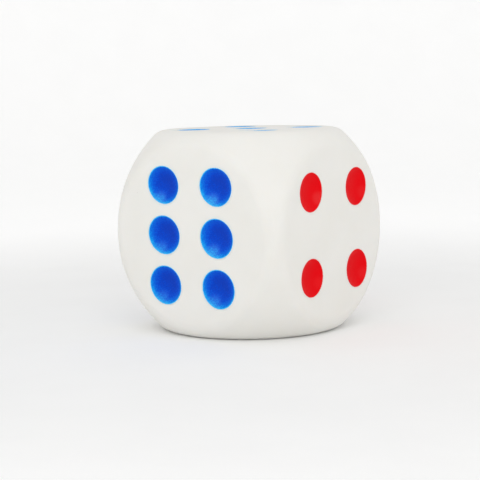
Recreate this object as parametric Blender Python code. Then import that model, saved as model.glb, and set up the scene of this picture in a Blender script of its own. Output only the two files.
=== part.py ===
"""One giant yard die, 90 mm across its flats: a moulded foam cube with round corners and painted pips.

It stands on its two, at z = 0, with the origin under its middle. The five is up (+Z), the six is at the
front (-Y), the four is on the right (+X), and opposite faces add up to seven. Lengths are in metres.

From the inside out the die is a foam core, a dense skin in two pieces, and a film of paint in each pip.
The skin's base piece is the lid of the mould: the parting line runs round the face that carries the two.
"""

import math

import bmesh
import bpy
from mathutils import Matrix, Vector

# The outer shape: a cube cut by a ball, with one rolling radius between each flat and the ball. Each
# rolled edge leans from its flat to a cone of 45 degrees, where the next edge or the ball begins.
WIDTH = 0.090
EDGE_RADIUS = 0.0075
FLAT_RADIUS = WIDTH / 2 - EDGE_RADIUS
EDGE_LEAN = math.radians(45)

# The layers under the outer surface.
SKIN = 0.002
PAINT = 0.0004
GAP = 0.0003
LID_RADIUS = FLAT_RADIUS - 0.0005

# The pips. The outer ones of every face lie on one ring.
PIP_RADIUS = 0.0084
PIP_DEPTH = 0.0024
ONE_RADIUS = 0.0126
ONE_DEPTH = 0.0030
PIP_RING = 0.0261
SIX_COLUMN = 0.01425
SIX_ROW = math.sqrt(PIP_RING**2 - SIX_COLUMN**2)
CORNER = PIP_RING / math.sqrt(2)

# How finely each round is divided: (round a flat, across its edge, round a pip, across a pip).
FINE = (48, 3, 20, 2)
COARSE = (24, 2, 12, 2)

# How far a cutter stands out of the surface that it cuts, and how far the lid's cutter reaches in.
CLEAR = 0.001
LID_REACH = 0.010
WELD = 1e-6

# Each face: its outward normal, and its own right as seen from outside.
FACES = {
    "one": ((0, 1, 0), (-1, 0, 0)),
    "two": ((0, 0, -1), (1, 0, 0)),
    "three": ((-1, 0, 0), (0, -1, 0)),
    "four": ((1, 0, 0), (0, 1, 0)),
    "five": ((0, 0, 1), (1, 0, 0)),
    "six": ((0, -1, 0), (1, 0, 0)),
}

DIAGONAL = [(-CORNER, CORNER), (CORNER, -CORNER)]
CORNERS = [(-CORNER, CORNER), (CORNER, CORNER), (-CORNER, -CORNER), (CORNER, -CORNER)]
PIPS = {
    "one": [(0, 0)],
    "two": DIAGONAL,
    "three": [DIAGONAL[0], (0, 0), DIAGONAL[1]],
    "four": CORNERS,
    "five": [*CORNERS, (0, 0)],
    "six": [(column, row) for column in (-SIX_COLUMN, SIX_COLUMN) for row in (SIX_ROW, 0, -SIX_ROW)],
}
RED_FACES = ("one", "four")
LID_FACE = "two"

# Each material: its linear colour and its roughness.
MATERIALS = {
    "white_skin": ((0.83, 0.82, 0.78), 0.62),
    "cream_foam": ((0.80, 0.76, 0.66), 0.95),
    "blue_paint": ((0.006, 0.09, 0.66), 0.50),
    "red_paint": ((0.76, 0.008, 0.014), 0.50),
}
CREASE = math.radians(40)


def clear_scene():
    for thing in list(bpy.data.objects):
        bpy.data.objects.remove(thing)


def plain_material(name):
    colour, roughness = MATERIALS[name]
    material = bpy.data.materials.new(name)
    material.use_nodes = True
    shader = material.node_tree.nodes["Principled BSDF"]
    shader.inputs["Base Color"].default_value = (*colour, 1)
    shader.inputs["Roughness"].default_value = roughness
    shader.inputs["Metallic"].default_value = 0
    return material


def new_object(name, mesh, material=None):
    body = bpy.data.objects.new(name, mesh)
    bpy.context.scene.collection.objects.link(body)
    if material:
        mesh.materials.append(material)
        mesh.shade_smooth()
        mesh.set_sharp_from_angle(angle=CREASE)
    return body


def as_guide(body):
    """Keeps a cutter out of the finished die."""
    body.hide_render = True
    body.display_type = "WIRE"
    return body


def finished(shape, name):
    """The mesh of a bmesh, welded and with its faces pointing out."""
    bmesh.ops.remove_doubles(shape, verts=shape.verts, dist=WELD)
    bmesh.ops.recalc_face_normals(shape, faces=shape.faces)
    mesh = bpy.data.meshes.new(name)
    shape.to_mesh(mesh)
    shape.free()
    return mesh


def cut(body, cutter):
    step = body.modifiers.new("cut_by_" + cutter.name, "BOOLEAN")
    step.operation = "DIFFERENCE"
    step.solver = "EXACT"
    step.object = cutter


def face_place(face):
    """The matrix from a face's own (right, up, out) to the die, with its origin at the flat's middle."""
    out, right = (Vector(direction) for direction in FACES[face])
    up = out.cross(right)
    turn = Matrix((right, up, out)).transposed().to_4x4()
    return Matrix.Translation(Vector((0, 0, WIDTH / 2)) + out * WIDTH / 2) @ turn


def pip_size(face):
    return (ONE_RADIUS, ONE_DEPTH) if face == "one" else (PIP_RADIUS, PIP_DEPTH)


def pip_places(face):
    return [face_place(face) @ Matrix.Translation((right, up, 0)) for right, up in PIPS[face]]


# The outer shape and its insets


def add_flat(shape, place, inset, around, across):
    """One flat and the rolled edge round it, out to the cone of 45 degrees where the ball begins."""
    radius = EDGE_RADIUS - inset
    rings = []
    for step in range(across + 1):
        lean = EDGE_LEAN * step / across
        out = radius * math.cos(lean) - EDGE_RADIUS
        reach = FLAT_RADIUS + radius * math.sin(lean)
        turns = (math.tau * k / around for k in range(around))
        points = (Vector((reach * math.cos(t), reach * math.sin(t), out)) for t in turns)
        rings.append([shape.verts.new(place @ point) for point in points])
    shape.faces.new(rings[0])
    for inner, outer in zip(rings, rings[1:]):
        for k in range(around):
            after = (k + 1) % around
            shape.faces.new((inner[k], outer[k], outer[after], inner[after]))


def corner_point(weights, signs, ball_radius):
    """A point of the ball between three flats. The cones that bound this patch are straight lines in the
    squares of a direction's parts, where the patch is a triangle, so the weights mix its three tips."""
    shares = [math.sin(weight * math.pi / 2) ** 2 for weight in weights]
    squares = [(1 - share / sum(shares)) / 2 for share in shares]
    direction = Vector([sign * math.sqrt(square) for sign, square in zip(signs, squares)])
    return Vector((0, 0, WIDTH / 2)) + ball_radius * direction


def add_corner(shape, signs, inset, steps):
    """The three-sided patch of the ball at one corner, as a grid of triangles."""
    ball_radius = math.sqrt(2) * FLAT_RADIUS + EDGE_RADIUS - inset
    grid = {}
    for i in range(steps + 1):
        for j in range(steps + 1 - i):
            weights = (i / steps, j / steps, (steps - i - j) / steps)
            grid[i, j] = shape.verts.new(corner_point(weights, signs, ball_radius))
    for i in range(steps):
        for j in range(steps - i):
            shape.faces.new((grid[i, j], grid[i + 1, j], grid[i, j + 1]))
            if i + j < steps - 1:
                shape.faces.new((grid[i + 1, j], grid[i + 1, j + 1], grid[i, j + 1]))


def rounded_die(name, inset, fineness):
    """The die's outer shape moved inwards by inset, without its pips."""
    around, across = fineness[:2]
    shape = bmesh.new()
    for face in FACES:
        add_flat(shape, face_place(face), inset, around, across)
    for signs in ((x, y, z) for x in (-1, 1) for y in (-1, 1) for z in (-1, 1)):
        add_corner(shape, signs, inset, around // 4)
    return finished(shape, name)


# The pips' bowls, and the paint in them


def bowl_arc(ball_radius, ball_height, reach, steps):
    """The profile (distance from the axis, height) of a bowl pressed by a ball, from its middle out."""
    distances = [reach * k / steps for k in range(steps + 1)]
    return [(x, ball_height - math.sqrt(ball_radius**2 - x**2)) for x in distances]


def add_turned(shape, profile, place, around):
    """A solid turned from a profile that starts and ends on the axis."""
    rings = []
    for distance, height in profile[1:-1]:
        turns = (math.tau * k / around for k in range(around))
        points = (Vector((distance * math.cos(t), distance * math.sin(t), height)) for t in turns)
        rings.append([shape.verts.new(place @ point) for point in points])
    first, last = (shape.verts.new(place @ Vector((0, 0, height))) for _, height in (profile[0], profile[-1]))
    for k in range(around):
        after = (k + 1) % around
        shape.faces.new((first, rings[0][k], rings[0][after]))
        shape.faces.new((last, rings[-1][after], rings[-1][k]))
        for lower, upper in zip(rings, rings[1:]):
            shape.faces.new((lower[k], upper[k], upper[after], lower[after]))


def pip_ball(face):
    """(radius, height of its centre over the flat) of the ball that presses a face's pips."""
    radius, depth = pip_size(face)
    ball_radius = (radius**2 + depth**2) / (2 * depth)
    return ball_radius, ball_radius - depth


def pockets(name, faces):
    """What is cut out of the skin for the paint: each pip's bowl, deeper and wider by the paint and a gap."""
    around, across = FINE[2:]
    shape = bmesh.new()
    for face in faces:
        ball_radius, ball_height = pip_ball(face)
        reach = pip_size(face)[0] + GAP
        arc = bowl_arc(ball_radius + PAINT + GAP, ball_height, reach, across)
        profile = [*arc, (reach, CLEAR), (0, CLEAR)]
        for place in pip_places(face):
            add_turned(shape, profile, place, around)
    return as_guide(new_object(name, finished(shape, name)))


def hollows(name, inset):
    """The bowls at that depth under the outer surface, parallel to the skin's pockets."""
    around, across = COARSE[2:]
    shape = bmesh.new()
    for face in FACES:
        ball_radius, ball_height = pip_ball(face)
        ball_radius += PAINT + GAP + inset
        reach = math.sqrt(ball_radius**2 - (ball_height + inset) ** 2)
        profile = [*bowl_arc(ball_radius, ball_height, reach, across), (reach, CLEAR), (0, CLEAR)]
        for place in pip_places(face):
            add_turned(shape, profile, place, around)
    return as_guide(new_object(name, finished(shape, name)))


def paint_film(name, face, place, material):
    """One pip's paint, its outer side pressed by the pip's ball."""
    around, across = FINE[2:]
    ball_radius, ball_height = pip_ball(face)
    reach = pip_size(face)[0]
    under = bowl_arc(ball_radius + PAINT, ball_height, reach, across)
    over = bowl_arc(ball_radius, ball_height, reach, across)
    shape = bmesh.new()
    add_turned(shape, [*under, *reversed(over)], Matrix.Identity(4), around)
    film = new_object(name, finished(shape, name), material)
    film.matrix_world = place
    return film


# The die's pieces


def lid_cylinder(name, radius, top, bottom):
    """A round plug across the mould's lid, from bottom to top."""
    shape = bmesh.new()
    profile = [(0, bottom), (radius, bottom), (radius, top), (0, top)]
    add_turned(shape, profile, Matrix.Identity(4), FINE[0])
    return finished(shape, name)


def skin_cavity():
    """The space inside the skin, which its pips' bowls bulge into."""
    cavity = as_guide(new_object("cavity", rounded_die("cavity", SKIN, COARSE)))
    cut(cavity, hollows("cavity_hollows", SKIN))
    return cavity


def make_skin(cavity, material):
    upper = new_object("skin_upper", rounded_die("skin_upper", 0, FINE), material)
    opening = lid_cylinder("lid_opening", LID_RADIUS + GAP / 2, LID_REACH, -CLEAR)
    cut(upper, cavity)
    cut(upper, as_guide(new_object("lid_opening", opening)))
    cut(upper, pockets("upper_pockets", [face for face in FACES if face != LID_FACE]))

    base_mesh = lid_cylinder("skin_base", LID_RADIUS - GAP / 2, LID_REACH, 0)
    base = new_object("skin_base", base_mesh, material)
    cut(base, cavity)
    cut(base, pockets("base_pockets", [LID_FACE]))


def make_core(material):
    core = new_object("foam_core", rounded_die("foam_core", SKIN + GAP, COARSE), material)
    cut(core, hollows("core_hollows", SKIN + GAP))


def make_pips(blue, red):
    for face in FACES:
        material = red if face in RED_FACES else blue
        places = pip_places(face)
        for number, place in enumerate(places, 1):
            name = f"pip_{face}" if len(places) == 1 else f"pip_{face}_{number}"
            paint_film(name, face, place, material)


def main():
    clear_scene()
    make_core(plain_material("cream_foam"))
    make_skin(skin_cavity(), plain_material("white_skin"))
    make_pips(plain_material("blue_paint"), plain_material("red_paint"))


main()
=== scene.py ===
"""The looks of one giant foam yard die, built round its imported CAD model.

The CAD nodes give every size and place: the die's width, and each pip's middle, radius and depth.
Here the foam core, the two pieces of skin and the spots of paint get fine meshes and procedural
materials. The die stands on its two on a pale floor, in soft studio light. Lengths are in metres.
"""

import math

import bmesh
import bpy
import numpy as np
from mathutils import Matrix, Vector
from mathutils.geometry import delaunay_2d_cdt


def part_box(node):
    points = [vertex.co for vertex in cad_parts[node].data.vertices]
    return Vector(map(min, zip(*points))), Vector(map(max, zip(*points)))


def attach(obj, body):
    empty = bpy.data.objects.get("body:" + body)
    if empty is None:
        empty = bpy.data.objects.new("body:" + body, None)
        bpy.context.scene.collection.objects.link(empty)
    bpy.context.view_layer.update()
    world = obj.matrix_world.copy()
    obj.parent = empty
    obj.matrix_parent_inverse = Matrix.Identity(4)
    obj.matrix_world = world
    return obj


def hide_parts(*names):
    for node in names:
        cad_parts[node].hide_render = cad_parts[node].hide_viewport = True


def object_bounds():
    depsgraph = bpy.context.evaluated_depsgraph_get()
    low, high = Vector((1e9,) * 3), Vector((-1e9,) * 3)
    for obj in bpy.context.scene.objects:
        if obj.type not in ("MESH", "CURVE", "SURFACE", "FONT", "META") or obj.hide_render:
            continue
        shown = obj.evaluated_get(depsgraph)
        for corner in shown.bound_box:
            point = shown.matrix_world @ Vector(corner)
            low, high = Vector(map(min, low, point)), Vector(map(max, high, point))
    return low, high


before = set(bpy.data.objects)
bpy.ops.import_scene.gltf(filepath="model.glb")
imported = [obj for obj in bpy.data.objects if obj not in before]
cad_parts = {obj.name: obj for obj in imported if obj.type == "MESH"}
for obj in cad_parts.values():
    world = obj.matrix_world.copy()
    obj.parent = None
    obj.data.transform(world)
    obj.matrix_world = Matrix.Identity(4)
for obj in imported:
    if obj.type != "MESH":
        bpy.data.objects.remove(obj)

CAD_LOW, CAD_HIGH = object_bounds()
MIDDLE = (CAD_LOW + CAD_HIGH) / 2
HALF = (CAD_HIGH.x - CAD_LOW.x) / 2

# The outer shape: flats, the rolling radius round each, how far its edge leans, and the ball that cuts the
# corners.
EDGE_RADIUS = 0.0075
FLAT_RADIUS = HALF - EDGE_RADIUS
EDGE_LEAN = math.radians(45)
BALL_RADIUS = math.sqrt(2) * FLAT_RADIUS + EDGE_RADIUS

# The layers. The CAD's paint is thick so that it is a solid; the sprayed film is thin.
SKIN = 0.0020
CAD_PAINT = 0.0004
PAINT = 0.00005
FILM_LIFT = 0.00001
LAYER_GAP = 0.00006

# The parting line round the lid face: where it runs, and how its lips are rounded.
LID_FACE = "two"
LID_RADIUS = FLAT_RADIUS - 0.0005
PARTING = 0.00008
LIP = 0.00018
LIP_STEPS = 4

# A pip's rim: how high it is softened, and how far out its fine rings go, as a share of that.
RIM_BLEND = 0.00028
RIM_REACH = 2.4

# The spray: how far past the rim the paint thins to nothing, how far a haze of drops drifts, the distance
# that counts as clear of every pip, and the power by which the paint's points move out with its edge.
FEATHER = 0.00040
HALO = 0.0016
FAR = 0.05
STRETCH_POWER = 3

# Mesh fineness: round a flat, across its edge, round a pip, rings across a pip, rings across its rim.
OUTSIDE = {"flat": 144, "edge": 10, "pip": 72, "bowl": 9, "rim": 12}
INSIDE = {"flat": 144, "edge": 4, "pip": 36, "bowl": 4, "rim": 4}

# The even triangles that fill a flat: their side, the height of a row as a share of it, and the share of a
# hole's radius within which a triangle lies in the hole. Points this near each other are one.
FILL_STEP = 0.0026
ROW_HEIGHT = 0.866
HOLE_SHARE = 0.999
WELD = 1e-7

# Each face: its outward normal, its own right as seen from outside, and how many pips it has.
FACES = {
    "one": ((0, 1, 0), (-1, 0, 0), 1),
    "two": ((0, 0, -1), (1, 0, 0), 2),
    "three": ((-1, 0, 0), (0, -1, 0), 3),
    "four": ((1, 0, 0), (0, 1, 0), 4),
    "five": ((0, 0, 1), (1, 0, 0), 5),
    "six": ((0, -1, 0), (1, 0, 0), 6),
}
RED_FACES = ("one", "four")

# How the spray lies on each face: the direction in which its coats are thinnest, the direction of the
# patch of painted sheen highlight on their bowls, the direction in which they are oval, and by what share of
# their radius. Every direction here and below is an angle from the face's right.
SPRAY = {
    "one": (200, 300, 15, 0.010),
    "two": (250, 270, 130, 0.020),
    "three": (235, 260, 150, 0.020),
    "four": (180, 335, 15, 0.010),
    "five": (126, 200, 140, 0.020),
    "six": (238, 246, 140, 0.025),
}

# How each spot differs from the next: how strong its patch of painted sheen highlight is, in which direction
# the spot has slipped, and how far it has slipped and how much wider it is, as shares of its radius.
SPOTS = {
    "six": [
        (0.9, 110, 0.025, -0.020),
        (0.7, 135, 0.035, 0.005),
        (0.6, 0, 0.000, 0.010),
        (1.0, 195, 0.035, -0.020),
        (0.9, 210, 0.035, 0.010),
        (0.7, 340, 0.030, 0.005),
    ],
    "five": [
        (0.6, 340, 0.04, -0.04),
        (0.6, 340, 0.04, -0.05),
        (0.5, 10, 0.05, -0.04),
        (0.6, 10, 0.08, -0.09),
        (0.7, 0, 0.05, -0.05),
    ],
    "four": [(1.0, 70, 0.01, 0.00), (0.4, 120, 0.02, 0.00), (0.3, 35, 0.015, -0.02), (0.4, 80, 0.02, 0.01)],
    "three": [(0.8, 130, 0.02, 0.00), (0.6, 20, 0.03, 0.01), (0.9, 220, 0.03, -0.01)],
    "two": [(0.7, 60, 0.03, 0.00), (0.9, 170, 0.02, -0.02)],
    "one": [(0.4, 70, 0.01, 0.00)],
}

# What each point of the paint is told, for its material, among it where its painted sheen highlight lies and
# how strong it is.
COAT_NAMES = ("spread", "thin_side", "painted_sheen_side", "painted_sheen")

# The skin. Colours are linear. Lumps of noise are given by their size, and bumps by their real depth.
SKIN_WHITE = (0.850, 0.839, 0.802)
SKIN_WARM = (0.832, 0.820, 0.778)
SKIN_CLOUDS = 0.022
SKIN_ROUGHNESS = (0.58, 0.68)
SKIN_ROUGHNESS_SIZE = 0.004
WAVE_SIZE, WAVE_DEPTH = 0.006, 0.00006
GRAIN_SIZE, GRAIN_DEPTH = 0.00045, 0.000016
SKIN_SHINE = 0.4
SKIN_GLOW = 0.12
SKIN_GLOW_COLOUR = (1.0, 0.8, 0.6)
SKIN_GLOW_DEPTH = 0.0015

# The skin's pinholes: the size of the cells that may hold one, the share that does, its radius, and where
# the cells' pattern starts; then the share of the radius that is floor, their depth, the colour of the
# painted shade in them, and how much of that painted shade shows.
SMALL_PINHOLES = (0.0075, 0.30, 0.00022, 0.3)
LARGE_PINHOLES = (0.016, 0.25, 0.00042, 0.9)
PINHOLE_FLOOR = 0.4
PINHOLE_DEPTH = 0.00016
PINHOLE_PAINTED_SHADE = (0.45, 0.42, 0.36)
PINHOLE_PAINTED_SHADE_SHARE = 0.35

# The haze of drops on the skin: its colours, the size of its drops, the values of their noise between which
# it thickens, and how thick it is between the drops and on them.
BLUE_HAZE = (0.05, 0.60, 1.00)
RED_HAZE = (0.890, 0.0245, 0.0370)
HAZE_SIZE = 0.00025
HAZE_SPAN = (0.5, 0.8)
HAZE_THICKNESS = (0.05, 0.5)

# The paints. A coat's thinness runs from 0, where it is full, to 1. Distances are shares of a spot's radius.
#   colours: the coat's colours, by thinness
#   middle, lean: the thinness in the middle, and how much it grows by the edge on the thin side
#   patch: how far out the middle of the patch of painted sheen highlight is, and the patch's radius
#   patch_thin: how much thinner the coat is drawn in the patch, as part of the painted sheen highlight
#   rim: the thinness at the rim, how much it grows on the thin side, and how much more by that side squared
#   line: from where to where a last thin line forms at the rim, and how thin it gets
#   grains, lumps: how much the thinness changes from drop to drop, and over some millimetres
#   patch_white, speck_white: how much of the white skin shows in the patch, and in fine specks
#   fade: from where to where the coat ends
PAINTS = {
    "blue": {
        "colours": [
            (0.20, (0.0030, 0.050, 0.505)),
            (0.36, (0.0012, 0.061, 0.597)),
            (0.50, (0.0008, 0.092, 0.682)),
            (0.65, (0.0020, 0.162, 0.757)),
            (0.80, (0.0080, 0.335, 0.880)),
            (0.95, (0.0400, 0.520, 0.925)),
        ],
        "middle": 0.27,
        "lean": 0.32,
        "patch": (0.84, 0.66),
        "patch_thin": 0.24,
        "rim": (0.69, 0.175, 0.055),
        "line": (0.90, 0.99, 0.95),
        "grains": 0.50,
        "lumps": 0.08,
        "patch_white": 0.030,
        "speck_white": 0.008,
        "fade": (1.00, 1.03),
        "roughness": (0.40, 0.52),
    },
    "red": {
        "colours": [
            (0.30, (0.800, 0.0008, 0.0050)),
            (0.65, (0.815, 0.0130, 0.0190)),
            (1.00, RED_HAZE),
        ],
        "middle": 0.23,
        "lean": 0.35,
        "patch": (0.86, 0.54),
        "grains": 0.6,
        "lumps": 0.3,
        "patch_white": 0.024,
        "speck_white": 0.002,
        "fade": (1.01, 1.04),
        "roughness": (0.42, 0.52),
    },
}

# What the paints share: how steeply the rim thins and how softly it meets the middle, the sizes of the
# spray's grains and lumps, its specks, its ragged edge, and the dried drops of its surface.
RIM_POWER = 1.3
RIM_SOFTNESS = 0.10
GRAIN_OF_SPRAY = 0.0006
LUMP_OF_SPRAY = 0.004
SPECK_SIZE = 0.0005
SPECK_SPAN = (0.42, 0.75)
RAGGED_SIZE, RAGGED_EDGE = 0.0004, 0.05
PAINT_ROUGHNESS_SIZE = 0.0012
DROP_SIZE, DROP_DEPTH = 0.00035, 0.00001
PAINT_SHINE = 0.05

# The foam core: its colours, with painted shade deep in its open cells, and the cells, whose walls start
# this far from their middles.
CREAM = (0.80, 0.75, 0.63)
CREAM_LIGHT = (0.84, 0.80, 0.70)
CELL_PAINTED_SHADE = (0.55, 0.48, 0.36)
CREAM_CLOUDS = 0.02
CREAM_ROUGHNESS = (1.0, 0.85)
CELL_SIZE, CELL_DEPTH = 0.0012, 0.0003
CELL_WALL = 0.6

# Where most of a noise's values lie.
NOISE_SPAN = (0.3, 0.7)

# The camera: where it stands round the die's middle, in degrees and metres, its lens in millimetres, and
# how far to the right and above the lens axis the middle lies, for each metre of distance.
CAMERA_TURN = 35.77
CAMERA_LIFT = 6.44
CAMERA_ROLL = -1.15
CAMERA_DISTANCE = 14.68 * HALF
LENS = 108.6
SENSOR = 36.0
OFF_AXIS_RIGHT = 0.0073
OFF_AXIS_UP = 0.0090

# The studio's floor: its flat middle, the sweep that it ends in, the rings of each and the points round
# them, its two shades of paper, and how much it glows near the die and further out, as a lit backdrop does.
FLOOR_RADIUS = 1.2
SWEEP = 0.6
FLOOR_RINGS = 12
SWEEP_RINGS = 16
FLOOR_AROUND = 96
FLOOR_WHITE = (0.95, 0.95, 0.945)
FLOOR_GREY = (0.935, 0.935, 0.93)
PAPER_CLOUDS = 0.05
FLOOR_ROUGHNESS = 0.9
FLOOR_GLOW = 0.016
BACKDROP_GLOW = 0.17
GLOW_FROM_TO = (0.15, 0.50)

# The light: how bright the sky is, and the soft lights as (name, place, width, watts).
SKY = 0.73
SOFTBOXES = [
    ("key", (0.8, -0.8, 0.8), 0.7, 2.0),
    ("fill", (0.35, -1.1, 0.8), 0.5, 1.0),
    ("overhead", (0.1, -0.2, 1.3), 1.2, 1.24),
]

WHITE = (1, 1, 1)


# Places, read from the frame


def face_place(face):
    """The matrix from a face's own (right, up, out) to the die, with its origin at the flat's middle."""
    out, right = (Vector(direction) for direction in FACES[face][:2])
    turn = Matrix((right, out.cross(right), out)).transposed().to_4x4()
    return Matrix.Translation(MIDDLE + out * HALF) @ turn


def pip_nodes(face):
    count = FACES[face][2]
    return [f"pip_{face}"] if count == 1 else [f"pip_{face}_{k}" for k in range(1, count + 1)]


def read_pip(face, node):
    """A pip's middle on its flat, radius and depth, in the face's own axes."""
    to_face = face_place(face).inverted()
    low, high = (to_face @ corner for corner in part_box(node))
    size = [abs(high[k] - low[k]) for k in range(3)]
    middle = (low + high) / 2
    return {
        "node": node,
        "at": Vector((middle.x, middle.y)),
        "radius": size[0] / 2,
        "depth": size[2] - CAD_PAINT,
    }


PIPS = {face: [read_pip(face, node) for node in pip_nodes(face)] for face in FACES}


# The surfaces


def pip_height(pip, distance, inset):
    """Height of a layer's surface over the flat, this far from the pip's middle: the ball's bowl inside,
    the layer's own flat outside, and a soft rim between them."""
    ball = (pip["radius"] ** 2 + pip["depth"] ** 2) / (2 * pip["depth"])
    middle = ball - pip["depth"]
    ball += inset
    bowl = middle - math.sqrt(max(ball**2 - distance**2, 0))
    blend = max(RIM_BLEND - abs(bowl + inset), 0) / RIM_BLEND
    return min(bowl, -inset) - blend**2 * RIM_BLEND / 4


def bowl_edge(pip, inset):
    """How far from its middle a pip's bowl meets the flat of the layer at that depth."""
    ball = (pip["radius"] ** 2 + pip["depth"] ** 2) / (2 * pip["depth"])
    return math.sqrt((ball + inset) ** 2 - (ball - pip["depth"] + inset) ** 2)


def ring_distances(edge, fine):
    """Rings out to just past a bowl's edge: even across the bowl, close together at the rim."""
    reach = RIM_BLEND * RIM_REACH
    bowl = [(edge - reach) * (k + 1) / fine["bowl"] for k in range(fine["bowl"] - 1)]
    rim = [edge + reach * (2 * k / fine["rim"] - 1) for k in range(fine["rim"] + 1)]
    return bowl + rim


def circle(middle, radius, around):
    turns = (math.tau * k / around for k in range(around))
    return [Vector((middle.x + radius * math.cos(t), middle.y + radius * math.sin(t))) for t in turns]


def raised(points, height):
    """Flat points, moved to this height."""
    return [point.to_3d() + Vector((0, 0, height)) for point in points]


def round_rings(profile, around):
    """Rings about the middle, from their (distance, height)."""
    return [raised(circle(Vector((0, 0)), distance, around), height) for distance, height in profile]


def add_rings(shape, place, rings):
    """Quads between rings of points, which are given in place's own axes."""
    rows = [[shape.verts.new(place @ point) for point in ring] for ring in rings]
    for inner, outer in zip(rows, rows[1:]):
        for k, vertex in enumerate(inner):
            after = (k + 1) % len(inner)
            shape.faces.new((vertex, outer[k], outer[after], inner[after]))
    return rows


def add_bowl(shape, place, pip, inset, fine):
    """A pip's bowl and its rim. Returns how far it reaches from its middle."""
    around = fine["pip"]
    distances = ring_distances(bowl_edge(pip, inset), fine)
    rings = [raised(circle(pip["at"], d, around), pip_height(pip, d, inset)) for d in distances]
    rows = add_rings(shape, place, rings)
    bottom = shape.verts.new(place @ Vector((*pip["at"], pip_height(pip, 0, inset))))
    for k in range(around):
        shape.faces.new((bottom, rows[0][k], rows[0][(k + 1) % around]))
    return distances[-1]


def add_flat(shape, place, pips, inset, radius, fine):
    """A round flat with its pips' bowls, and even triangles between them."""
    points, edges = [], []

    def add_loop(loop):
        first = len(points)
        points.extend(loop)
        edges.extend((first + k, first + (k + 1) % len(loop)) for k in range(len(loop)))

    holes = []
    add_loop(circle(Vector((0, 0)), radius, fine["flat"]))
    for pip in pips:
        reach = add_bowl(shape, place, pip, inset, fine)
        holes.append((pip["at"], reach))
        add_loop(circle(pip["at"], reach, fine["pip"]))

    rows = int(radius / FILL_STEP / ROW_HEIGHT) + 1
    for row in range(-rows, rows + 1):
        for column in range(-rows, rows + 1):
            point = Vector(((column + row % 2 / 2) * FILL_STEP, row * FILL_STEP * ROW_HEIGHT))
            clear = all((point - at).length > reach + FILL_STEP / 2 for at, reach in holes)
            if clear and point.length < radius - FILL_STEP / 2:
                points.append(point)

    flat_points, _, triangles, *_ = delaunay_2d_cdt(points, edges, [], 0, WELD)
    vertices = [shape.verts.new(place @ Vector((*point, -inset))) for point in flat_points]
    for triangle in triangles:
        middle = sum((flat_points[k] for k in triangle), Vector((0, 0))) / 3
        if all((middle - at).length > reach * HOLE_SHARE for at, reach in holes):
            shape.faces.new([vertices[k] for k in triangle])


def add_edge(shape, place, inset, fine):
    """The rolled edge round a flat, out to the cone where the ball begins."""
    radius = EDGE_RADIUS - inset
    leans = [EDGE_LEAN * step / fine["edge"] for step in range(fine["edge"] + 1)]
    profile = [(FLAT_RADIUS + radius * math.sin(t), radius * math.cos(t) - EDGE_RADIUS) for t in leans]
    add_rings(shape, place, round_rings(profile, fine["flat"]))


def corner_point(weights, signs, ball_radius):
    """A point of the ball between three flats. The cones that bound this patch are straight lines in the
    squares of a direction's parts, where the patch is a triangle, so the weights mix its three tips."""
    shares = [math.sin(weight * math.pi / 2) ** 2 for weight in weights]
    squares = [(1 - share / sum(shares)) / 2 for share in shares]
    return MIDDLE + ball_radius * Vector([s * math.sqrt(square) for s, square in zip(signs, squares)])


def add_corner(shape, signs, inset, steps):
    """The three-sided patch of the ball at one corner, as a grid of triangles."""
    grid = {}
    for i in range(steps + 1):
        for j in range(steps + 1 - i):
            weights = (i / steps, j / steps, (steps - i - j) / steps)
            grid[i, j] = shape.verts.new(corner_point(weights, signs, BALL_RADIUS - inset))
    for i in range(steps):
        for j in range(steps - i):
            shape.faces.new((grid[i, j], grid[i + 1, j], grid[i, j + 1]))
            if i + j < steps - 1:
                shape.faces.new((grid[i + 1, j], grid[i + 1, j + 1], grid[i, j + 1]))


def add_surface(shape, inset, faces, fine):
    """One layer's whole surface. The faces named get a full flat, and the others stay open there."""
    for face in FACES:
        place = face_place(face)
        add_edge(shape, place, inset, fine)
        if face in faces:
            add_flat(shape, place, PIPS[face], inset, FLAT_RADIUS, fine)
    for signs in ((x, y, z) for x in (-1, 1) for y in (-1, 1) for z in (-1, 1)):
        add_corner(shape, signs, inset, fine["flat"] // 4)


# The pieces' meshes


def new_piece(name, shape, material):
    """The object made from a bmesh: welded, facing out and smooth."""
    bmesh.ops.remove_doubles(shape, verts=shape.verts, dist=WELD)
    bmesh.ops.recalc_face_normals(shape, faces=shape.faces)
    mesh = bpy.data.meshes.new(name)
    shape.to_mesh(mesh)
    shape.free()
    mesh.materials.append(material)
    mesh.shade_smooth()
    piece = bpy.data.objects.new(name, mesh)
    bpy.context.scene.collection.objects.link(piece)
    return piece


def lip_profile(radius, side):
    """The rounded edge of the skin at the parting line, from its outer side to its inner one, as
    (distance, height). side is 1 where the skin lies outside this radius, and -1 where it lies inside."""
    turns = [math.radians(90) * step / LIP_STEPS for step in range(LIP_STEPS + 1)]
    outer = [(radius + side * LIP * (1 - math.sin(t)), LIP * (math.cos(t) - 1)) for t in turns]
    return outer + [(distance, -SKIN - height) for distance, height in reversed(outer)]


def add_lip(shape, profile):
    add_rings(shape, face_place(LID_FACE), round_rings(profile, OUTSIDE["flat"]))


def name_spray(piece, faces):
    """Gives each point of the skin its distance past the nearest pip's rim, and whether that pip is red,
    so that the skin's material can draw the spray that drifted past the rims."""
    mesh = piece.data
    points = np.empty(len(mesh.vertices) * 3, np.float32)
    mesh.vertices.foreach_get("co", points)
    points = np.c_[points.reshape(-1, 3), np.ones(len(mesh.vertices))]
    past = np.full(len(points), FAR)
    red = np.zeros(len(points))
    for face in faces:
        local = points @ np.array(face_place(face).inverted()).T
        for pip in PIPS[face]:
            reach = np.hypot(local[:, 0] - pip["at"].x, local[:, 1] - pip["at"].y) - pip["radius"]
            reach[local[:, 2] < -SKIN - pip["depth"]] = FAR
            nearer = reach < past
            past[nearer] = reach[nearer]
            red[nearer] = face in RED_FACES
    for name, values in (("past_rim", past), ("red_pip", red)):
        mesh.attributes.new(name, "FLOAT", "POINT").data.foreach_set("value", values.astype(np.float32))


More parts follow.
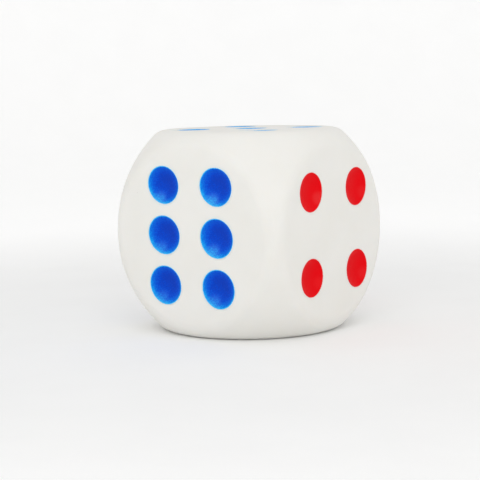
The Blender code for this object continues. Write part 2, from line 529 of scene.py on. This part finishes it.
def make_skin_upper(material):
    faces = [face for face in FACES if face != LID_FACE]
    shape = bmesh.new()
    add_surface(shape, 0, faces, OUTSIDE)
    add_surface(shape, SKIN, faces, INSIDE)
    lip = lip_profile(LID_RADIUS + PARTING / 2, 1)
    add_lip(shape, [(FLAT_RADIUS, 0), *lip, (FLAT_RADIUS, -SKIN)])
    piece = new_piece("die_skin_upper", shape, material)
    name_spray(piece, faces)
    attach(piece, "root")
    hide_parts("skin_upper")


def make_skin_base(material):
    lip = lip_profile(LID_RADIUS - PARTING / 2, -1)
    shape = bmesh.new()
    place = face_place(LID_FACE)
    add_flat(shape, place, PIPS[LID_FACE], 0, lip[0][0], OUTSIDE)
    add_flat(shape, place, PIPS[LID_FACE], SKIN, lip[0][0], INSIDE)
    add_lip(shape, lip)
    piece = new_piece("die_skin_base", shape, material)
    name_spray(piece, [LID_FACE])
    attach(piece, "root")
    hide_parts("skin_base")


def make_core(material):
    shape = bmesh.new()
    add_surface(shape, SKIN + LAYER_GAP, list(FACES), INSIDE)
    piece = new_piece("die_foam_core", shape, material)
    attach(piece, "root")
    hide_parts("foam_core")


def edge_wander(spray, spot, angle):
    """How much further than its radius a spot of paint reaches in this direction, as a share of it."""
    long_way, oval = spray[2:]
    _, towards, slip, wider = spot
    slipped = slip * math.cos(angle - math.radians(towards))
    return wider + slipped + oval * math.cos(2 * (angle - math.radians(long_way)))


def film_mesh(shape, pip, spray, spot):
    """A spot of paint on a pip's bowl and rim, thinning to nothing at its outer edge. Its points move out
    by the edge's wander, the more the further out they are, and each is told its place on the even spot."""
    layers = {name: shape.verts.layers.float.new(name) for name in COAT_NAMES}
    end = pip["radius"] + FEATHER
    distances = [d for d in ring_distances(pip["radius"], OUTSIDE) if d < end - FEATHER / 4] + [end]
    angles = [math.tau * k / OUTSIDE["pip"] for k in range(OUTSIDE["pip"])]

    def ring(distance, lift):
        points = []
        for angle in angles:
            share = min(distance / pip["radius"], 1) ** STRETCH_POWER
            reach = distance * (1 + edge_wander(spray, spot, angle) * share)
            height = pip_height(pip, reach, 0) + lift
            points.append(Vector((reach * math.cos(angle), reach * math.sin(angle), height)))
        return points

    def lift(distance):
        return FILM_LIFT + PAINT * min((end - distance) / FEATHER / 2, 1)

    over = distances[-2::-1]
    rings = [ring(distance, FILM_LIFT) for distance in distances]
    rings += [ring(distance, lift(distance)) for distance in over]
    rows = add_rings(shape, Matrix.Identity(4), rings)
    for row, distance in zip(rows, distances + over):
        for vertex, angle in zip(row, angles):
            name_coat(vertex, layers, distance / pip["radius"], angle, spray, spot)
    for row, height in ((rows[0], FILM_LIFT), (rows[-1], FILM_LIFT + PAINT)):
        middle = shape.verts.new((0, 0, pip_height(pip, 0, 0) + height))
        name_coat(middle, layers, 0, 0, spray, spot)
        for k, vertex in enumerate(row):
            shape.faces.new((middle, vertex, row[(k + 1) % len(row)]))


def name_coat(vertex, layers, spread, angle, spray, spot):
    """Gives a point of the paint its place between the middle and the edge, its place towards the thin
    side and towards the patch of painted sheen highlight, all as shares of the radius, and how strong this
    spot's painted sheen highlight is."""
    thinnest, painted_sheen = spray[:2]
    vertex[layers["spread"]] = spread
    vertex[layers["thin_side"]] = spread * math.cos(angle - math.radians(thinnest))
    vertex[layers["painted_sheen_side"]] = spread * math.cos(angle - math.radians(painted_sheen))
    vertex[layers["painted_sheen"]] = spot[0]


def make_paint(face, pip, spot, material):
    shape = bmesh.new()
    film_mesh(shape, pip, SPRAY[face], spot)
    piece = new_piece(pip["node"].replace("pip", "paint"), shape, material)
    piece.matrix_world = face_place(face) @ Matrix.Translation(pip["at"].to_3d())
    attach(piece, "root")
    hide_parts(pip["node"])


def make_pips():
    blue = paint_material("blue_spray", PAINTS["blue"])
    red = paint_material("red_spray", PAINTS["red"])
    for face, pips in PIPS.items():
        material, slot = (red, "red_paint") if face in RED_FACES else (blue, "blue_paint")
        for pip, spot in zip(pips, SPOTS[face]):
            make_paint(face, pip, spot, material)


# Materials


def new_node(tree, kind, inputs=(), **settings):
    node = tree.nodes.new(kind)
    for name, value in settings.items():
        setattr(node, name, value)
    for key, value in dict(inputs).items():
        if isinstance(value, bpy.types.NodeSocket):
            tree.links.new(value, node.inputs[key])
        else:
            node.inputs[key].default_value = value
    return node


def calculate(tree, operation, first, second=0.0, third=0.0, clamp=False):
    inputs = {0: first, 1: second, 2: third}
    return new_node(tree, "ShaderNodeMath", inputs, operation=operation, use_clamp=clamp).outputs[0]


def remap(tree, value, low, high, to_low=0.0, to_high=1.0):
    inputs = {0: value, 1: low, 2: high, 3: to_low, 4: to_high}
    node = new_node(tree, "ShaderNodeMapRange", inputs, interpolation_type="SMOOTHSTEP")
    return node.outputs[0]


def noise(tree, size, detail=2.0, seed=0.0):
    """Noise whose lumps are about this many metres across, from 0 to 1."""
    where = new_node(tree, "ShaderNodeTexCoord").outputs["Object"]
    moved = new_node(tree, "ShaderNodeVectorMath", {0: where, 1: (seed, seed * 0.7, seed * 0.4)})
    inputs = {"Vector": moved.outputs[0], "Scale": 1 / size, "Detail": detail, "Roughness": 0.55}
    return new_node(tree, "ShaderNodeTexNoise", inputs).outputs[0]


def mix_colours(tree, share, first, second):
    node = new_node(tree, "ShaderNodeMix", {0: share}, data_type="RGBA", clamp_factor=True)
    for socket, colour in ((node.inputs[6], first), (node.inputs[7], second)):
        if isinstance(colour, bpy.types.NodeSocket):
            tree.links.new(colour, socket)
        else:
            socket.default_value = (*colour, 1)
    return node.outputs[2]


def colour_ramp(tree, value, stops):
    node = new_node(tree, "ShaderNodeValToRGB", {0: value})
    ramp = node.color_ramp
    while len(ramp.elements) < len(stops):
        ramp.elements.new(0.5)
    for element, (position, colour) in zip(ramp.elements, stops):
        element.position = position
        element.color = (*colour, 1)
    return node.outputs[0]


def attribute(tree, name):
    return new_node(tree, "ShaderNodeAttribute", attribute_name=name).outputs["Fac"]


def varied(tree, size, low=0.0, high=1.0, detail=3.0, seed=0.0):
    """Noise with lumps of this size, stretched to run from low to high."""
    return remap(tree, noise(tree, size, detail, seed), *NOISE_SPAN, low, high)


def bump(tree, height, depth, below=None):
    """A bump of this real depth, in metres."""
    inputs = {"Height": height, "Distance": depth, "Strength": 1.0}
    if below:
        inputs["Normal"] = below
    return new_node(tree, "ShaderNodeBump", inputs).outputs[0]


def new_material(name):
    material = bpy.data.materials.new(name)
    material.use_nodes = True
    return material, material.node_tree, material.node_tree.nodes["Principled BSDF"]


def pinholes(tree, size, share, radius, start):
    """1 inside scattered pinholes: cells this many metres across, this share of which holds one."""
    where = new_node(tree, "ShaderNodeTexCoord").outputs["Object"]
    moved = new_node(tree, "ShaderNodeVectorMath", {0: where, 1: (start, start, start)}).outputs[0]
    cells = new_node(tree, "ShaderNodeTexVoronoi", {"Vector": moved, "Scale": 1 / size})
    hole = remap(tree, cells.outputs["Distance"], radius / size, radius / size * PINHOLE_FLOOR)
    pick = new_node(tree, "ShaderNodeSeparateColor", {0: cells.outputs["Color"]}).outputs[0]
    return calculate(tree, "MULTIPLY", hole, calculate(tree, "LESS_THAN", pick, share))


def with_haze(tree, white):
    """The skin's colour, with the drops that drifted past the pips' rims."""
    haze = mix_colours(tree, attribute(tree, "red_pip"), BLUE_HAZE, RED_HAZE)
    near = calculate(tree, "DIVIDE", attribute(tree, "past_rim"), HALO)
    near = calculate(tree, "SUBTRACT", 1.0, near, clamp=True)
    drops = remap(tree, noise(tree, HAZE_SIZE, 1.0, 0.5), *HAZE_SPAN, *HAZE_THICKNESS)
    drift = calculate(tree, "MULTIPLY", calculate(tree, "POWER", near, 2.0), drops)
    return mix_colours(tree, drift, white, haze)


def skin_material():
    """Moulded foam skin: warm white and matt, with slight waves, a fine grain and a few pinholes darkened
    with painted shade.
    """
    material, tree, shader = new_material("white_foam_skin")
    small = pinholes(tree, *SMALL_PINHOLES)
    large = pinholes(tree, *LARGE_PINHOLES)
    holes = calculate(tree, "MAXIMUM", small, large)
    white = mix_colours(tree, varied(tree, SKIN_CLOUDS), SKIN_WHITE, SKIN_WARM)
    # The pinholes are darkened with painted shade.
    white = mix_colours(tree, calculate(tree, "MULTIPLY", holes, PINHOLE_PAINTED_SHADE_SHARE), white, PINHOLE_PAINTED_SHADE)
    tree.links.new(with_haze(tree, white), shader.inputs["Base Color"])

    rough = varied(tree, SKIN_ROUGHNESS_SIZE, *SKIN_ROUGHNESS, seed=0.2)
    tree.links.new(rough, shader.inputs["Roughness"])
    waves = bump(tree, noise(tree, WAVE_SIZE, 2.0, 0.7), WAVE_DEPTH)
    grain = bump(tree, noise(tree, GRAIN_SIZE, 3.0, 0.4), GRAIN_DEPTH, waves)
    pits = bump(tree, calculate(tree, "SUBTRACT", 1.0, holes), PINHOLE_DEPTH, grain)
    tree.links.new(pits, shader.inputs["Normal"])
    shader.inputs["Specular IOR Level"].default_value = SKIN_SHINE
    shader.inputs["Subsurface Weight"].default_value = SKIN_GLOW
    shader.inputs["Subsurface Radius"].default_value = SKIN_GLOW_COLOUR
    shader.inputs["Subsurface Scale"].default_value = SKIN_GLOW_DEPTH
    return material


def uneven(tree, value, amount, size, seed):
    """The value, pushed up and down by noise of this size."""
    wave = calculate(tree, "SUBTRACT", noise(tree, size, 2.0, seed), 0.5)
    return calculate(tree, "MULTIPLY_ADD", wave, amount, value)


def painted_sheen_patch(tree, spread, centre, radius):
    """How strong the painted sheen highlight is: most at a place this far out towards its side, and fading
    softly to none this far from it."""
    squared = calculate(tree, "MULTIPLY_ADD", spread, spread, centre**2)
    squared = calculate(tree, "MULTIPLY_ADD", attribute(tree, "painted_sheen_side"), -2 * centre, squared)
    patch = calculate(tree, "POWER", remap(tree, squared, radius**2, 0.0), 2.0)
    return calculate(tree, "MULTIPLY", patch, attribute(tree, "painted_sheen"))


def thin_rim(tree, thin, spread, side, look):
    """The coat's thinness with its bright rim, which is widest on the thin side."""
    level, by_side, by_side_squared = look["rim"]
    start, end, thinnest = look["line"]
    rim = calculate(tree, "MULTIPLY_ADD", side, by_side_squared, by_side)
    rim = calculate(tree, "MULTIPLY_ADD", side, rim, level)
    rim = calculate(tree, "MULTIPLY", rim, calculate(tree, "POWER", spread, RIM_POWER))
    rim = calculate(tree, "MAXIMUM", rim, remap(tree, spread, start, end, 0.0, thinnest))
    return calculate(tree, "SMOOTH_MAX", thin, rim, RIM_SOFTNESS)


def paint_material(name, look):
    """Sprayed paint: deep where the coat is full and brighter where it thins out, towards one side and
    round the rim, with a patch of painted sheen highlight. The white skin shows past the ragged edge and in
    fine specks."""
    material, tree, shader = new_material(name)
    spread = attribute(tree, "spread")
    side = attribute(tree, "thin_side")
    # The patch is a painted sheen highlight, drawn by mixing in white, and for the blue coat also by
    # thinning it.
    patch = painted_sheen_patch(tree, spread, *look["patch"])
    thin = calculate(tree, "MULTIPLY_ADD", side, look["lean"], look["middle"])
    if "rim" in look:
        thin = calculate(tree, "MULTIPLY_ADD", patch, look["patch_thin"], thin)
        thin = thin_rim(tree, thin, spread, side, look)
    thin = uneven(tree, thin, look["grains"], GRAIN_OF_SPRAY, 0.0)
    thin = uneven(tree, thin, look["lumps"], LUMP_OF_SPRAY, 0.3)
    colour = colour_ramp(tree, thin, look["colours"])

    specks = remap(tree, noise(tree, SPECK_SIZE, 1.0, 0.9), *SPECK_SPAN, 0.0, look["speck_white"])
    # White mixed into the paint: the painted sheen highlight in the patch, the fine specks, and past the
    # ragged edge the bare skin.
    sheen_and_specks = calculate(tree, "MULTIPLY_ADD", patch, look["patch_white"], specks)
    bare_and_sheen = remap(tree, uneven(tree, spread, RAGGED_EDGE, RAGGED_SIZE, 0.2), *look["fade"])
    bare_and_sheen = calculate(tree, "MAXIMUM", bare_and_sheen, sheen_and_specks)
    tree.links.new(mix_colours(tree, bare_and_sheen, colour, SKIN_WHITE), shader.inputs["Base Color"])

    rough = varied(tree, PAINT_ROUGHNESS_SIZE, *look["roughness"], seed=0.6)
    tree.links.new(rough, shader.inputs["Roughness"])
    drops = bump(tree, noise(tree, DROP_SIZE, 2.0, 0.8), DROP_DEPTH)
    tree.links.new(drops, shader.inputs["Normal"])
    shader.inputs["Specular IOR Level"].default_value = PAINT_SHINE
    return material


def core_material():
    """Open-pored cream foam, with painted shade deep in its pores."""
    material, tree, shader = new_material("cream_foam")
    where = new_node(tree, "ShaderNodeTexCoord").outputs["Object"]
    cells = new_node(tree, "ShaderNodeTexVoronoi", {"Vector": where, "Scale": 1 / CELL_SIZE})
    depth = remap(tree, cells.outputs["Distance"], 0.0, CELL_WALL)
    cream = mix_colours(tree, varied(tree, CREAM_CLOUDS), CREAM, CREAM_LIGHT)
    # The cells' hollows are darkened with painted shade.
    cream = mix_colours(tree, depth, CELL_PAINTED_SHADE, cream)
    tree.links.new(cream, shader.inputs["Base Color"])
    tree.links.new(remap(tree, depth, 0.0, 1.0, *CREAM_ROUGHNESS), shader.inputs["Roughness"])
    tree.links.new(bump(tree, depth, CELL_DEPTH), shader.inputs["Normal"])
    return material


# The studio


def make_camera():
    """The camera, turned round the die and a little above it, with the die's middle off the lens axis."""
    turn, lift, roll = (math.radians(angle) for angle in (CAMERA_TURN, CAMERA_LIFT, CAMERA_ROLL))
    back = Vector((math.sin(turn) * math.cos(lift), -math.cos(turn) * math.cos(lift), math.sin(lift)))
    level = Vector((math.cos(turn), math.sin(turn), 0))
    upright = back.cross(level)
    right = math.cos(roll) * level + math.sin(roll) * upright
    up = back.cross(right)
    data = bpy.data.cameras.new("camera")
    data.lens = LENS
    data.sensor_width = SENSOR
    camera = bpy.data.objects.new("camera", data)
    aim = Vector((OFF_AXIS_RIGHT, OFF_AXIS_UP, -1)).normalized()
    to_die = right * aim.x + up * aim.y + back * aim.z
    place = MIDDLE - CAMERA_DISTANCE * to_die
    camera.matrix_world = Matrix.Translation(place) @ Matrix((right, up, back)).transposed().to_4x4()
    bpy.context.scene.collection.objects.link(camera)
    bpy.context.scene.camera = camera


def make_floor():
    """A pale floor that sweeps up into a low backdrop on every side, like a shallow bowl. The sweep glows
    more than the floor's middle, as a backdrop with its own lamps does."""
    profile = [(FLOOR_RADIUS * k / FLOOR_RINGS, 0) for k in range(1, FLOOR_RINGS + 1)]
    for step in range(1, SWEEP_RINGS + 1):
        lean = math.radians(90) * step / SWEEP_RINGS
        profile.append((FLOOR_RADIUS + SWEEP * math.sin(lean), SWEEP * (1 - math.cos(lean))))
    shape = bmesh.new()
    rows = add_rings(shape, Matrix.Identity(4), round_rings(profile, FLOOR_AROUND))
    shape.faces.new(rows[0])
    floor = new_piece("floor", shape, floor_material())


def floor_material():
    """Matt white paper."""
    material, tree, shader = new_material("pale_floor")
    paper = varied(tree, PAPER_CLOUDS, detail=4.0)
    tree.links.new(mix_colours(tree, paper, FLOOR_WHITE, FLOOR_GREY), shader.inputs["Base Color"])
    where = new_node(tree, "ShaderNodeTexCoord").outputs["Object"]
    distance = new_node(tree, "ShaderNodeVectorMath", {0: where}, operation="LENGTH").outputs["Value"]
    glow = remap(tree, distance, *GLOW_FROM_TO, FLOOR_GLOW, BACKDROP_GLOW)
    tree.links.new(glow, shader.inputs["Emission Strength"])
    shader.inputs["Emission Color"].default_value = (*WHITE, 1)
    shader.inputs["Roughness"].default_value = FLOOR_ROUGHNESS
    return material


def add_softbox(name, place, width, power):
    """A round soft light that faces the die's middle."""
    data = bpy.data.lights.new(name, "AREA")
    data.shape = "DISK"
    data.size = width
    data.energy = power
    lamp = bpy.data.objects.new(name, data)
    lamp.location = place
    lamp.rotation_euler = (MIDDLE - Vector(place)).to_track_quat("-Z", "Y").to_euler()
    bpy.context.scene.collection.objects.link(lamp)


def make_light():
    scene = bpy.context.scene
    scene.view_settings.view_transform = "Standard"
    scene.world = bpy.data.worlds.new("studio")
    scene.world.use_nodes = True
    background = scene.world.node_tree.nodes["Background"]
    background.inputs["Color"].default_value = (*WHITE, 1)
    background.inputs["Strength"].default_value = SKY
    for softbox in SOFTBOXES:
        add_softbox(*softbox)


def main():
    make_camera()
    make_floor()
    make_light()
    skin = skin_material()
    make_core(core_material())
    make_skin_upper(skin)
    make_skin_base(skin)
    make_pips()


main()
